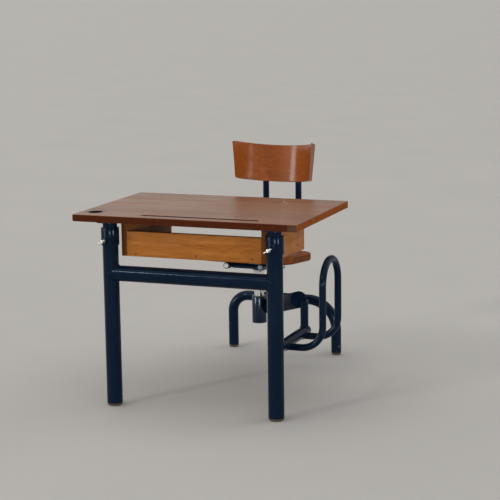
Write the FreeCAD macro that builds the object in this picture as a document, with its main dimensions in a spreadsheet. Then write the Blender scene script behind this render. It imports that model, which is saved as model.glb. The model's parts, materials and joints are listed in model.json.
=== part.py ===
"""School desk with an attached seat: tubular steel frame, wooden top over an open book tray,
wooden seat and plywood backrest on a sliding post, and a satchel hoop beside the right leg.

Millimetres, +Z up. +X is the hoop side, +Y runs from the desk to the seat. Heights are above the floor.
Sizes along X and Y are written from the middle of the line between the two desk legs. At the end every
piece is moved alike, so that the origin is on the floor below the middle of the whole object.
"""
import FreeCAD, Part
import math
import os
import Sketcher

vec = FreeCAD.Vector
doc = FreeCAD.newDocument("SchoolDesk")
sheet = doc.addObject("Spreadsheet::Sheet", "sizes")

# Driving dimensions, in millimetres and degrees
SIZES = (
    # desk legs and their crossbar
    ("tray_side_gap", 8), ("leg_diameter", 50), ("leg_wall", 2), ("leg_top", 570),
    ("crossbar_height", 429), ("crossbar_diameter", 50), ("crossbar_wall", 2),
    ("glide_height", 9), ("glide_spigot", 18), ("glide_draft", 3),
    # clamp collars on the leg tops and their wing screws
    ("collar_diameter", 57), ("collar_height", 54), ("collar_lip", 3),
    ("boss_diameter", 18), ("boss_reach", 6),
    ("screw_drop", 38), ("screw_turn", 264), ("screw_tilt", 25), ("screw_diameter", 8), ("screw_standoff", 5),
    ("hub_diameter", 13), ("hub_taper", 1.25), ("hub_length", 11), ("wing_diameter", 13), ("wing_thickness", 4),
    ("wing_spread", 18),
    # sliding posts and brackets that carry the desk top
    ("slide_clearance", 0.3), ("post_wall", 2.5), ("post_length", 330),
    ("bracket_width", 46), ("bracket_length", 200), ("bracket_thickness", 5), ("bracket_setback", 48),
    ("bracket_round", 10),
    ("wood_screw_diameter", 5), ("wood_screw_head", 10), ("wood_screw_face", 6.6),
    ("wood_screw_head_height", 3), ("wood_screw_bite", 12),
    # desk top with its pen groove and inkwell hole
    ("top_width", 740), ("top_depth", 503), ("top_thickness", 22), ("top_height", 621),
    ("top_overhang", 70.5), ("top_edge_round", 3), ("top_corner_round", 6),
    ("groove_length", 372), ("groove_width", 18), ("groove_depth", 6), ("groove_setback", 43),
    ("groove_offset", 41),
    ("inkwell_diameter", 46), ("inkwell_inset", 50), ("inkwell_setback", 66),
    # open book tray under the top
    ("tray_width", 486), ("tray_front", 16), ("tray_depth", 346), ("panel_thickness", 18),
    ("side_front_height", 117), ("side_rear_height", 131), ("front_panel_height", 79),
    ("tray_bottom_thickness", 8), ("tray_bottom_rise", 7), ("tray_bottom_setback", 6),
    ("tray_groove_depth", 6),
    ("cleat_size", 20), ("cleat_length", 300),
    # rear arch, beam and seat sleeve
    ("arch_line", 836), ("arch_spacing", 394), ("arch_diameter", 36), ("arch_wall", 2),
    ("arch_height", 195), ("arch_left_bend", 60), ("arch_right_bend", 105),
    ("sleeve_line", 585), ("sleeve_bottom", 163), ("sleeve_length", 90), ("sleeve_diameter", 50),
    ("sleeve_wall", 2.5), ("bush_length", 14), ("bush_lip", 2),
    ("beam_diameter", 34), ("beam_wall", 2),
    ("clamp_turn", 120), ("clamp_height", 228),
    # link from the right leg to the sleeve, and the satchel hoop
    ("rail_height", 220), ("rail_diameter", 34), ("rail_wall", 2), ("rail_length", 284),
    ("cap_dome", 9), ("cap_spigot", 12),
    ("riser_line", 268), ("riser_diameter", 26), ("riser_wall", 2),
    ("arm_diameter", 54), ("arm_wall", 2.5), ("arm_high", 320), ("arm_low", 215),
    ("arm_inset", 21), ("arm_setback", 7), ("arm_offset", 36), ("arm_past", 21),
    ("hoop_diameter", 22), ("hoop_wall", 2), ("hoop_reach", 124), ("hoop_front", 80), ("hoop_span", 152),
    ("hoop_foot_height", 214), ("hoop_top", 482), ("hoop_foot_bend", 70),
    # seat post, seat frame, seat and backrest
    ("seat_post_diameter", 34), ("seat_post_wall", 3), ("seat_post_length", 181), ("socket_room", 3),
    ("post_flat", 1.5),
    ("head_width", 160), ("head_length", 90), ("head_thickness", 6), ("socket_diameter", 44),
    ("socket_depth", 7),
    ("seat_tube_diameter", 22), ("seat_tube_wall", 2), ("seat_tube_spacing", 122),
    ("seat_tube_front", 440), ("seat_tube_height", 383), ("seat_slope", 6), ("upright_line", 828),
    ("upright_bend", 70), ("rake_height", 630), ("rake_bend", 150), ("back_rake", 13), ("rake_length", 90),
    ("plug_flange", 3), ("plug_spigot", 14),
    ("tie_bar_diameter", 14), ("tie_bar_setback", 34),
    ("seat_width", 320), ("seat_depth", 320), ("seat_front", 431), ("seat_thickness", 27),
    ("seat_hollow", 8), ("seat_front_corner", 60), ("seat_rear_corner", 100), ("seat_edge_round", 6),
    ("seat_gap", 0.2),
    ("back_radius", 148), ("back_thickness", 15), ("back_top_width", 292), ("back_bottom_width", 274),
    ("back_height", 130), ("back_rise", 52), ("back_corner", 7), ("back_edge_round", 2.5),
    ("back_screw_spacing", 60),
    # how far a cutting tool runs past what it cuts
    ("overrun", 4),
)
for row, (alias, number) in enumerate(SIZES, start=1):
    sheet.set(f"A{row}", alias.replace("_", " "))
    sheet.set(f"B{row}", str(number))
    sheet.setAlias(f"B{row}", alias)
doc.recompute()

nodes = []
UP = vec(0, 0, 1)
ALONG_X = vec(1, 0, 0)
ALONG_Y = vec(0, 1, 0)
parallel_share = 0.9


# Helpers for pieces, their sizes and their places

def bind(thing, **sizes):
    """Ties properties of a document object to sums of sheet cells."""
    for name, formula in sizes.items():
        words = formula.replace("(", " ( ").replace(")", " ) ").split()
        thing.setExpression(name, " ".join("sizes." + w if hasattr(sheet, w) else w for w in words))
    return thing


def aim(base, direction=UP):
    """A placement that puts a thing's own Z axis along a direction."""
    return FreeCAD.Placement(base, FreeCAD.Rotation(UP, direction))


def rod(radius, height, base=vec(), direction=UP):
    piece = bind(doc.addObject("Part::Cylinder", "rod"), Radius=radius, Height=height)
    piece.Placement = aim(base, direction)
    return piece


def span_rod(radius, start, end):
    """A rod from one point to another."""
    piece = bind(doc.addObject("Part::Cylinder", "rod"), Radius=radius)
    piece.Height = start.distanceToPoint(end)
    piece.Placement = aim(start, end - start)
    return piece


def ball(radius, base):
    piece = bind(doc.addObject("Part::Sphere", "ball"), Radius=radius)
    piece.Placement = aim(base)
    return piece


def block(length, width, height, base, rotation=FreeCAD.Rotation()):
    piece = bind(doc.addObject("Part::Box", "block"), Length=length, Width=width, Height=height)
    piece.Placement = FreeCAD.Placement(base, rotation)
    return piece


def cut(stock, *tools):
    piece = doc.addObject("Part::Cut", "cut")
    piece.Base = stock
    piece.Tool = tools[0] if len(tools) == 1 else group(*tools)
    return piece


def fuse(*shapes):
    piece = doc.addObject("Part::MultiFuse", "fuse")
    piece.Shapes = list(shapes)
    return piece


def common(*shapes):
    piece = doc.addObject("Part::MultiCommon", "common")
    piece.Shapes = list(shapes)
    return piece


def group(*shapes):
    piece = doc.addObject("Part::Compound", "group")
    piece.Links = list(shapes)
    return piece


def round_edges(stock, radius, wanted):
    """Rounds the edges that a test picks out."""
    doc.recompute()
    piece = doc.addObject("Part::Fillet", "rounded")
    piece.Base = stock
    picked = [i for i, edge in enumerate(stock.Shape.Edges, start=1) if wanted(edge)]
    piece.Edges = [(i, radius, radius) for i in picked]
    return piece


def runs_along(direction):
    """A test for edges that start off along a direction, either way."""
    return lambda edge: abs(edge.tangentAt(edge.FirstParameter).dot(direction)) > parallel_share


def runs_across(direction):
    return lambda edge: not runs_along(direction)(edge)


def pipe(diameter, wall, length, base, direction=UP):
    """A straight tube with square ends."""
    outer = rod(f"{diameter} / 2", length, base, direction)
    start = base - direction * sheet.overrun
    bore = rod(f"{diameter} / 2 - {wall}", f"{length} + 2 * overrun", start, direction)
    return cut(outer, bore)


def node(piece, label, base=vec(), rotation=FreeCAD.Rotation()):
    """Names a finished piece and, where it was made about its own origin, puts it in its place."""
    piece.Label = label
    piece.Placement = FreeCAD.Placement(base, rotation)
    nodes.append(piece)
    return piece


# Places that several pieces share

leg_x = (sheet.tray_width + sheet.bracket_width) / 2 + sheet.tray_side_gap
top_underside = sheet.top_height - sheet.top_thickness
slope = math.radians(sheet.seat_slope)
rake = math.radians(sheet.back_rake)
sides = (("left", -1), ("right", 1))

# the uprights turn back by the rake at the rake height, then run on straight
rake_start = vec(0, sheet.upright_line, sheet.rake_height)
rake_along = vec(0, math.sin(rake), math.cos(rake))
rake_back = vec(0, math.cos(rake), -math.sin(rake))
rake_tangent = sheet.rake_bend * math.tan(rake / 2)
upright_end = rake_start + rake_along * sheet.rake_length


# Leg glides: turned plugs whose spigots sit in the tube ends

def glide(diameter, wall, x, y):
    foot = bind(doc.addObject("Part::Cone", "foot"), Radius1=f"{diameter} / 2 - glide_draft",
                Radius2=f"{diameter} / 2", Height="glide_height")
    foot.Placement = aim(vec(x, y, 0))
    spigot = rod(f"{diameter} / 2 - {wall}", "glide_spigot", vec(x, y, sheet.glide_height))
    return fuse(foot, spigot)


node(group(*[glide("leg_diameter", "leg_wall", s * leg_x, 0) for _, s in sides]), "front_leg_glides")
arch_x = sheet.arch_spacing / 2
node(group(*[glide("arch_diameter", "arch_wall", s * arch_x, sheet.arch_line) for _, s in sides]),
     "rear_foot_glides")

# Desk legs, collars and wing screws

screw_angle = math.radians(sheet.screw_turn)
screw_out = vec(math.cos(screw_angle), math.sin(screw_angle), 0)
collar_top = sheet.leg_top + sheet.collar_lip
screw_level = collar_top - sheet.screw_drop
leg_bore = "leg_diameter / 2 - leg_wall"
sliding_post = "leg_diameter / 2 - leg_wall - slide_clearance"


def screw_hole(x, y, level, direction, reach):
    """A clearance hole from a tube's axis out through its wall."""
    return rod("screw_diameter / 2 + slide_clearance", reach, vec(x, y, level), direction)


def wing_screw(tip, head):
    """A screw along its own Z axis: the tip starts at one distance and the hub at another."""
    shank = bind(doc.addObject("Part::Cylinder", "shank"), Radius="screw_diameter / 2",
                 Height=f"{head} - {tip} + hub_length / 2")
    hub = bind(doc.addObject("Part::Cone", "hub"), Radius1="hub_diameter / 2",
               Radius2="hub_diameter / 2 - hub_taper", Height="hub_length")
    doc.recompute()
    wings = []
    hub_start = shank.Height.Value - sheet.hub_length / 2
    hub.Placement = aim(vec(0, 0, hub_start))
    for side in (-1, 1):
        centre = vec(side * sheet.wing_spread / 2, -sheet.wing_thickness / 2, hub_start + sheet.hub_length)
        wings.append(rod("wing_diameter / 2", "wing_thickness", centre, ALONG_Y))
    bridge = block("wing_spread", "wing_thickness", "wing_diameter / 2",
                   vec(-sheet.wing_spread / 2, -sheet.wing_thickness / 2,
                       hub_start + sheet.hub_length - sheet.wing_diameter / 2))
    return fuse(shank, hub, bridge, *wings)


for name, s in sides:
    x = s * leg_x
    tube = pipe("leg_diameter", "leg_wall", "leg_top - glide_height", vec(x, 0, sheet.glide_height))
    node(cut(tube, screw_hole(x, 0, screw_level, screw_out, "leg_diameter")), f"{name}_leg")

    ring = rod("collar_diameter / 2", "collar_height", vec(x, 0, collar_top - sheet.collar_height))
    boss = rod("boss_diameter / 2", "collar_diameter / 2 + boss_reach", vec(x, 0, screw_level), screw_out)
    seat = rod("leg_diameter / 2", "collar_height - collar_lip + overrun",
               vec(x, 0, collar_top - sheet.collar_height - sheet.overrun))
    mouth = rod(leg_bore, "collar_lip + 2 * overrun", vec(x, 0, sheet.leg_top - sheet.overrun))
    hole = screw_hole(x, 0, screw_level, screw_out, "collar_diameter")
    node(cut(fuse(ring, boss), fuse(seat, mouth, hole)), f"{name}_leg_collar")

    tip_reach = sheet.leg_diameter / 2 - sheet.leg_wall
    screw = wing_screw("( leg_diameter / 2 - leg_wall )", "( collar_diameter / 2 + boss_reach + screw_standoff )")
    node(screw, f"{name}_wing_screw", vec(x, 0, screw_level) + screw_out * tip_reach,
         FreeCAD.Rotation(UP, screw_out) * FreeCAD.Rotation(UP, sheet.screw_tilt))

# Crossbar between the legs, its ends hollowed to sit against them

bar = pipe("crossbar_diameter", "crossbar_wall", "tray_width + bracket_width + 2 * tray_side_gap",
           vec(-leg_x, 0, sheet.crossbar_height), ALONG_X)
saddles = [rod("leg_diameter / 2", "2 * crossbar_diameter",
               vec(s * leg_x, 0, sheet.crossbar_height - sheet.crossbar_diameter)) for _, s in sides]
node(cut(bar, *saddles), "leg_crossbar")

# Sliding posts and the brackets welded on their tops

bracket_level = top_underside - sheet.bracket_thickness
screw_along_shares = (-0.4, 0.4)
screw_across_shares = (-0.3, 0.3)
screw_places = [vec(s * leg_x + a * sheet.bracket_width, sheet.bracket_setback + b * sheet.bracket_length,
                    bracket_level)
                for _, s in sides for b in screw_along_shares for a in screw_across_shares]


def screw_holes(base_level, reach):
    return [rod("wood_screw_diameter / 2", reach, vec(p.x, p.y, base_level)) for p in screw_places]


for name, s in sides:
    x = s * leg_x
    post = rod(sliding_post, "post_length", vec(x, 0, bracket_level - sheet.post_length))
    bore = rod(f"{sliding_post} - post_wall", "post_length + overrun",
               vec(x, 0, bracket_level - sheet.post_length - sheet.overrun))
    node(cut(post, bore), f"{name}_sliding_post")

    plate = block("bracket_width", "bracket_length", "bracket_thickness",
                  vec(x - sheet.bracket_width / 2, sheet.bracket_setback - sheet.bracket_length / 2, bracket_level))
    plate = round_edges(plate, sheet.bracket_round, runs_along(UP))
    holes = screw_holes(bracket_level - sheet.overrun, "bracket_thickness + 2 * overrun")
    node(cut(plate, *holes), f"{name}_top_bracket")

screws = []
for place in screw_places:
    head = bind(doc.addObject("Part::Cone", "head"), Radius1="wood_screw_face / 2",
                Radius2="wood_screw_head / 2", Height="wood_screw_head_height")
    head.Placement = aim(place - UP * sheet.wood_screw_head_height)
    screws.append(fuse(head, rod("wood_screw_diameter / 2", "bracket_thickness + wood_screw_bite", place)))
node(group(*screws), "bracket_screws")

# Desk top: one glued-up board with a pen groove and an inkwell hole

top_front = -sheet.top_overhang
board = block("top_width", "top_depth", "top_thickness", vec(-sheet.top_width / 2, top_front, top_underside))
board = round_edges(board, sheet.top_corner_round, runs_along(UP))
board = round_edges(board, sheet.top_edge_round, runs_across(UP))
groove_ball = "( groove_width * groove_width / 4 + groove_depth * groove_depth ) / ( 2 * groove_depth )"
ball_radius = (sheet.groove_width ** 2 / 4 + sheet.groove_depth ** 2) / (2 * sheet.groove_depth)
groove_start = vec(sheet.groove_offset - sheet.groove_length / 2, top_front + sheet.groove_setback,
                   sheet.top_height - sheet.groove_depth + ball_radius)
groove = fuse(rod(groove_ball, "groove_length", groove_start, ALONG_X), ball(groove_ball, groove_start),
              ball(groove_ball, groove_start + ALONG_X * sheet.groove_length))
inkwell = rod("inkwell_diameter / 2", "top_thickness + 2 * overrun",
              vec(sheet.inkwell_inset - sheet.top_width / 2, top_front + sheet.inkwell_setback, top_underside - sheet.overrun))
node(cut(board, groove, inkwell, *screw_holes(top_underside - sheet.overrun, "wood_screw_bite + overrun")),
     "desk_top")


# Book tray: two tapered sides, a low front and a sloping bottom, open towards the seat

tray_rear = sheet.tray_front + sheet.tray_depth
inner_x = sheet.tray_width / 2 - sheet.panel_thickness
tray_fall = math.atan2(sheet.side_rear_height - sheet.side_front_height, sheet.tray_depth)


def outline(body, plane, corners):
    """A closed sketch through corners, each held from the origin by two sheet formulas."""
    sketch = body.newObject("Sketcher::SketchObject", "outline")
    support = [f for f in body.Origin.OriginFeatures if f.Role == plane][0]
    sketch.AttachmentSupport = (support, "")
    sketch.MapMode = "FlatFace"
    count = len(corners)
    points = [vec(*place) for place, _ in corners]
    for i in range(count):
        sketch.addGeometry(Part.LineSegment(points[i], points[(i + 1) % count]))
    for i in range(count):
        sketch.addConstraint(Sketcher.Constraint("Coincident", i, 2, (i + 1) % count, 1))
    for i, (place, formulas) in enumerate(corners):
        for kind, size, formula in zip(("DistanceX", "DistanceY"), place, formulas):
            index = sketch.addConstraint(Sketcher.Constraint(kind, -1, 1, i, 1, size))
            bind(sketch, **{f"Constraints[{index}]": formula})
    return sketch


def side_panel(x):
    """A side board as a padded outline, seen along X: level on top, its lower edge falling to the rear."""
    body = doc.addObject("PartDesign::Body", "side_board")
    under = "top_height - top_thickness"
    front, rear = "tray_front", "tray_front + tray_depth"
    corners = (
        ((sheet.tray_front, top_underside), (front, under)),
        ((tray_rear, top_underside), (rear, under)),
        ((tray_rear, top_underside - sheet.side_rear_height), (rear, f"{under} - side_rear_height")),
        ((sheet.tray_front, top_underside - sheet.side_front_height), (front, f"{under} - side_front_height")),
    )
    pad = body.newObject("PartDesign::Pad", "thickness")
    pad.Profile = outline(body, "YZ_Plane", corners)
    bind(pad, Length="panel_thickness")
    body.Placement = FreeCAD.Placement(vec(x, 0, 0), FreeCAD.Rotation())
    return body


fall_along = vec(0, math.cos(tray_fall), -math.sin(tray_fall))
fall_turn = FreeCAD.Rotation(ALONG_Y, fall_along)
bottom_x = inner_x + sheet.tray_groove_depth
bottom_base = vec(-bottom_x, sheet.tray_front + sheet.panel_thickness,
                  top_underside - sheet.side_front_height + sheet.tray_bottom_rise)
bottom_length = "tray_depth - panel_thickness - tray_bottom_setback"


def tray_board():
    return block("tray_width - 2 * panel_thickness + 2 * tray_groove_depth", bottom_length,
                 "tray_bottom_thickness", bottom_base, fall_turn)


node(tray_board(), "tray_bottom", bottom_base, fall_turn)
for name, s in sides:
    x = inner_x if s > 0 else -sheet.tray_width / 2
    node(cut(side_panel(x), tray_board()), f"{name}_tray_side")
front_base = vec(-inner_x, sheet.tray_front, top_underside - sheet.side_front_height)
front = block("tray_width - 2 * panel_thickness", "panel_thickness", "front_panel_height", front_base)
node(cut(front, tray_board()), "tray_front")
cleats = [block("cleat_size", "cleat_length", "cleat_size",
                vec(-inner_x if s < 0 else inner_x - sheet.cleat_size,
                    tray_rear - sheet.cleat_length, top_underside - sheet.cleat_size)) for _, s in sides]
node(group(*cleats), "tray_cleats")


# Bent tubes: a ring-shaped section swept along lines and tangent arcs

def bent_path(points, bends):
    """Edges of a route whose corners are rounded, and the straight tangent lengths they use."""
    edges = []
    start = points[0]
    nearest = Part.Vertex(start).getTolerance(0)
    for before, corner, after, bend in zip(points, points[1:], points[2:], bends):
        back = (before - corner).normalize()
        ahead = (after - corner).normalize()
        half = back.getAngle(ahead) / 2
        tangent = bend / math.tan(half)
        inward = (back + ahead).normalize()
        first = corner + back * tangent
        last = corner + ahead * tangent
        centre = corner + inward * (bend / math.sin(half))
        if start.distanceToPoint(first) > nearest:
            edges.append(Part.LineSegment(start, first).toShape())
        edges.append(Part.Arc(first, centre - inward * bend, last).toShape())
        start = last
    edges.append(Part.LineSegment(start, points[-1]).toShape())
    return Part.Wire(edges)


def bent_tube(points, bends, diameter, wall):
    path = bent_path(points, bends)
    direction = points[1] - points[0]
    outer, inner = [path.makePipeShell([Part.Wire(Part.Circle(points[0], direction, r).toShape())], True, False)
                    for r in (diameter / 2, diameter / 2 - wall)]
    piece = doc.addObject("Part::Feature", "bent_tube")
    piece.Shape = outer.cut(inner)
    return piece


# Rear arch: one tube bent into an upside-down U

arch_points = [vec(-arch_x, sheet.arch_line, sheet.glide_height),
               vec(-arch_x, sheet.arch_line, sheet.arch_height),
               vec(arch_x, sheet.arch_line, sheet.arch_height),
               vec(arch_x, sheet.arch_line, sheet.glide_height)]
node(bent_tube(arch_points, (sheet.arch_left_bend, sheet.arch_right_bend), sheet.arch_diameter, sheet.arch_wall), "rear_arch")

# Seat sleeve with two bushes and a clamp boss

sleeve_foot = vec(0, sheet.sleeve_line, sheet.sleeve_bottom)
sleeve_top = sheet.sleeve_bottom + sheet.sleeve_length
clamp_angle = math.radians(sheet.clamp_turn)
clamp_out = vec(math.cos(clamp_angle), math.sin(clamp_angle), 0)
clamp_base = vec(0, sheet.sleeve_line, sheet.clamp_height)


def clamp_hole():
    return screw_hole(clamp_base.x, clamp_base.y, clamp_base.z, clamp_out, "sleeve_diameter")


def sleeve_core():
    """The sleeve's outer cylinder, longer at both ends, which shapes what is welded against it."""
    return rod("sleeve_diameter / 2", "2 * sleeve_length", sleeve_foot - UP * (sheet.sleeve_length / 2))


sleeve = pipe("sleeve_diameter", "sleeve_wall", "sleeve_length", sleeve_foot)
node(cut(sleeve, clamp_hole()), "post_sleeve")
boss = cut(rod("boss_diameter / 2", "sleeve_diameter / 2 + boss_reach", clamp_base, clamp_out),
           sleeve_core(), clamp_hole())
node(boss, "clamp_boss")
for label, low, lip in (("lower_sleeve_bush", sheet.sleeve_bottom, -1), ("upper_sleeve_bush", sleeve_top, 1)):
    body = rod("sleeve_diameter / 2 - sleeve_wall", "bush_length", vec(0, sheet.sleeve_line, low), UP * -lip)
    flange = rod("sleeve_diameter / 2", "bush_lip", vec(0, sheet.sleeve_line, low), UP * lip)
    bore = rod("seat_post_diameter / 2 + slide_clearance", "4 * bush_length",
               vec(0, sheet.sleeve_line, low - 2 * sheet.bush_length))
    node(cut(fuse(body, flange), bore), label)
clamp_tip = sheet.seat_post_diameter / 2 - sheet.post_flat + sheet.slide_clearance
screw = wing_screw("( seat_post_diameter / 2 - post_flat + slide_clearance )",
                   "( sleeve_diameter / 2 + boss_reach + screw_standoff )")
node(screw, "seat_clamp_screw", clamp_base + clamp_out * clamp_tip, FreeCAD.Rotation(UP, clamp_out))

# Beam from the arch to the sleeve, hollowed at both ends

beam_base = vec(0, sheet.sleeve_line, sheet.arch_height)
beam = pipe("beam_diameter", "beam_wall", "arch_line - sleeve_line", beam_base, ALONG_Y)
arch_saddle = rod("arch_diameter / 2", "2 * beam_diameter",
                  vec(-sheet.beam_diameter, sheet.arch_line, sheet.arch_height), ALONG_X)
node(cut(beam, arch_saddle, sleeve_core()), "pedestal_beam")

# Low rail behind the right leg, its riser, closed on top, and the sloping arm to the sleeve's flank

rail_base = vec(leg_x, 0, sheet.rail_height)
rail = pipe("rail_diameter", "rail_wall", "rail_length", rail_base, ALONG_Y)
leg_saddle = rod("leg_diameter / 2", "2 * rail_diameter",
                 vec(leg_x, 0, sheet.rail_height - sheet.rail_diameter))
node(cut(rail, leg_saddle), "link_rail")


def domed_cap(diameter, wall, end, outward):
    """A plug with a low domed face: a slice of a ball over a spigot."""
    radius = getattr(sheet, diameter) / 2
    dome_radius = (radius ** 2 + sheet.cap_dome ** 2) / (2 * sheet.cap_dome)
    dome = bind(doc.addObject("Part::Sphere", "dome"),
                Radius=f"( {diameter} * {diameter} / 4 + cap_dome * cap_dome ) / ( 2 * cap_dome )")
    dome.Placement = aim(end - outward * (dome_radius - sheet.cap_dome))
    slice_rod = rod(f"{diameter} / 2", "cap_dome + overrun", end, outward)
    spigot = rod(f"{diameter} / 2 - {wall}", "cap_spigot", end, outward * -1)
    return fuse(common(dome, slice_rod), spigot)


node(domed_cap("rail_diameter", "rail_wall", rail_base + ALONG_Y * sheet.rail_length, ALONG_Y), "rail_end_cap")

arm_tip = vec(leg_x - sheet.arm_inset, sheet.riser_line + sheet.arm_setback, sheet.arm_high)
arm_start = vec(sheet.arm_offset, sheet.sleeve_line + sheet.arm_past, sheet.arm_low)
arm_along = (arm_tip - arm_start).normalize()
arm = span_rod("arm_diameter / 2", arm_start, arm_tip)
bore = span_rod("arm_diameter / 2 - arm_wall", arm_start - arm_along * sheet.overrun,
                arm_tip + arm_along * sheet.overrun)
node(cut(cut(arm, bore), sleeve_core()), "link_arm")
arm_caps = [domed_cap("arm_diameter", "arm_wall", end, along)
            for end, along in ((arm_start, arm_along * -1), (arm_tip, arm_along))]
node(cut(group(*arm_caps), sleeve_core()), "arm_end_caps")

riser_base = vec(leg_x, sheet.riser_line, sheet.rail_height)
riser = rod("riser_diameter / 2", "arm_high - rail_height", riser_base)
riser_bore = rod("riser_diameter / 2 - riser_wall", "arm_high - rail_height - riser_wall", riser_base)
rail_saddle = rod("rail_diameter / 2", "2 * riser_diameter",
                  riser_base - ALONG_Y * sheet.riser_diameter, ALONG_Y)
arm_saddle = fuse(span_rod("arm_diameter / 2", arm_start, arm_tip),
                  domed_cap("arm_diameter", "arm_wall", arm_tip, arm_along))
node(cut(riser, riser_bore, rail_saddle, arm_saddle), "link_riser")

# Satchel hoop: its two feet leave the rail sideways, turn up and meet in a half circle

hoop_rear = sheet.hoop_front + sheet.hoop_span
hoop_bend = sheet.hoop_span / 2
hoop_x = leg_x + sheet.hoop_reach
hoop_points = [vec(leg_x, sheet.hoop_front, sheet.hoop_foot_height),
               vec(hoop_x, sheet.hoop_front, sheet.hoop_foot_height),
               vec(hoop_x, sheet.hoop_front, sheet.hoop_top),
               vec(hoop_x, hoop_rear, sheet.hoop_top),
               vec(hoop_x, hoop_rear, sheet.hoop_foot_height),
               vec(leg_x, hoop_rear, sheet.hoop_foot_height)]
hoop = bent_tube(hoop_points, (sheet.hoop_foot_bend, hoop_bend, hoop_bend, sheet.hoop_foot_bend),
                 sheet.hoop_diameter, sheet.hoop_wall)
rail_core = rod("rail_diameter / 2", "rail_length", rail_base, ALONG_Y)
node(cut(hoop, rail_core), "satchel_hoop")

# Seat post: a tube with a flat along it, on which the clamp screw bears

fall = vec(0, math.cos(slope), -math.sin(slope))
lift = vec(0, math.sin(slope), math.cos(slope))
seat_turn = FreeCAD.Rotation(ALONG_X, -sheet.seat_slope)
tube_radius = sheet.seat_tube_diameter / 2
tube_x = sheet.seat_tube_spacing / 2


def tube_axis(y, x=0):
    """The point of a seat tube's sloping run at a distance behind the leg line."""
    return vec(x, y, sheet.seat_tube_height - (y - sheet.seat_tube_front) * math.tan(slope))


head_plate_base = tube_axis(sheet.sleeve_line) - lift * (tube_radius + sheet.head_thickness)
post_top = vec(0, sheet.sleeve_line, head_plate_base.z - sheet.socket_room)
post_foot = post_top - UP * sheet.seat_post_length
flat_turn = FreeCAD.Rotation(ALONG_X, clamp_out)


def post_flat():
    """What is milled off one side of the post along its whole length."""
    corner = vec(sheet.seat_post_diameter / 2 - sheet.post_flat, -sheet.seat_post_diameter / 2, -sheet.overrun)
    return block("seat_post_diameter", "seat_post_diameter", "seat_post_length + 2 * overrun",
                 post_foot + flat_turn.multVec(corner), flat_turn)


post = pipe("seat_post_diameter", "seat_post_wall", "seat_post_length", post_foot)
node(cut(post, post_flat()), "seat_post")

# Seat frame: two tubes from plugged front ends, back under the seat and up behind the backrest

plate = block("head_width", "head_length", "head_thickness",
              head_plate_base - ALONG_X * (sheet.head_width / 2) - fall * (sheet.head_length / 2), seat_turn)
socket_foot = post_top - UP * sheet.socket_depth
socket = rod("socket_diameter / 2", "socket_depth + socket_room + head_thickness / 2", socket_foot)
post_room = cut(rod("seat_post_diameter / 2", "socket_depth + overrun", socket_foot - UP * sheet.overrun), post_flat())
node(cut(fuse(plate, socket), post_room), "seat_head")

seat_screw_along_shares = (0.2, 0.8)
seat_screw_runs = [sheet.seat_front + share * sheet.seat_depth for share in seat_screw_along_shares]


def pan_screw(head_seat, direction, tip):
    """A pan head below a tube and a shank that runs through it into the wood."""
    head = rod("wood_screw_head / 2", "wood_screw_head_height", head_seat, direction * -1)
    return fuse(head, span_rod("wood_screw_diameter / 2", head_seat, tip))


seat_screw_bite_share = 0.6
seat_screw_ends = []
for s in (-1, 1):
    for y in seat_screw_runs:
        axis = tube_axis(y, s * tube_x)
        tip = axis + lift * (tube_radius + sheet.seat_gap + seat_screw_bite_share * sheet.seat_thickness)
        seat_screw_ends.append((axis - lift * tube_radius, tip))
back_middle = rake_start + rake_along * sheet.back_rise
back_screw_bite_share = 0.5
back_gap_line = sheet.back_radius + sheet.back_thickness + sheet.seat_gap + tube_radius
back_depth = math.sqrt(back_gap_line ** 2 - tube_x ** 2)
back_screw_ends = []
for s in (-1, 1):
    for step in (-1, 1):
        axis = back_middle + rake_along * (step * sheet.back_screw_spacing / 2) + ALONG_X * (s * tube_x)
        inward = (ALONG_X * (-s * tube_x) - rake_back * back_depth).normalize()
        reach = tube_radius + sheet.seat_gap + back_screw_bite_share * sheet.back_thickness
        back_screw_ends.append((axis - inward * tube_radius, axis + inward * reach))


def shanks(ends):
    return [span_rod("wood_screw_diameter / 2", a - (b - a).normalize() * sheet.overrun, b) for a, b in ends]


for name, s in sides:
    x = s * tube_x
    route = [tube_axis(sheet.seat_tube_front, x), tube_axis(sheet.upright_line, x),
             rake_start + ALONG_X * x, upright_end + ALONG_X * x]
    tube = bent_tube(route, (sheet.upright_bend, sheet.rake_bend), sheet.seat_tube_diameter,
                     sheet.seat_tube_wall)
    node(cut(tube, *shanks(seat_screw_ends), *shanks(back_screw_ends)), f"{name}_seat_tube")


def tube_plug(end, outward):
    flange = rod("seat_tube_diameter / 2", "plug_flange", end, outward)
    return fuse(flange, rod("seat_tube_diameter / 2 - seat_tube_wall", "plug_spigot", end, outward * -1))


node(group(*[tube_plug(tube_axis(sheet.seat_tube_front, s * tube_x), fall * -1) for s in (-1, 1)]),
     "seat_tube_plugs")
tie_axis = tube_axis(sheet.seat_tube_front + sheet.tie_bar_setback)
tie = span_rod("tie_bar_diameter / 2", tie_axis - ALONG_X * tube_x, tie_axis + ALONG_X * tube_x)
tie_saddles = [rod("seat_tube_diameter / 2", "2 * tie_bar_setback",
                   tie_axis + ALONG_X * (s * tube_x) - fall * sheet.tie_bar_setback, fall) for s in (-1, 1)]
node(cut(tie, *tie_saddles), "seat_tie_bar")

# Seat: a thick board with rounded corners and a hollowed top, screwed to the tubes from below

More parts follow.
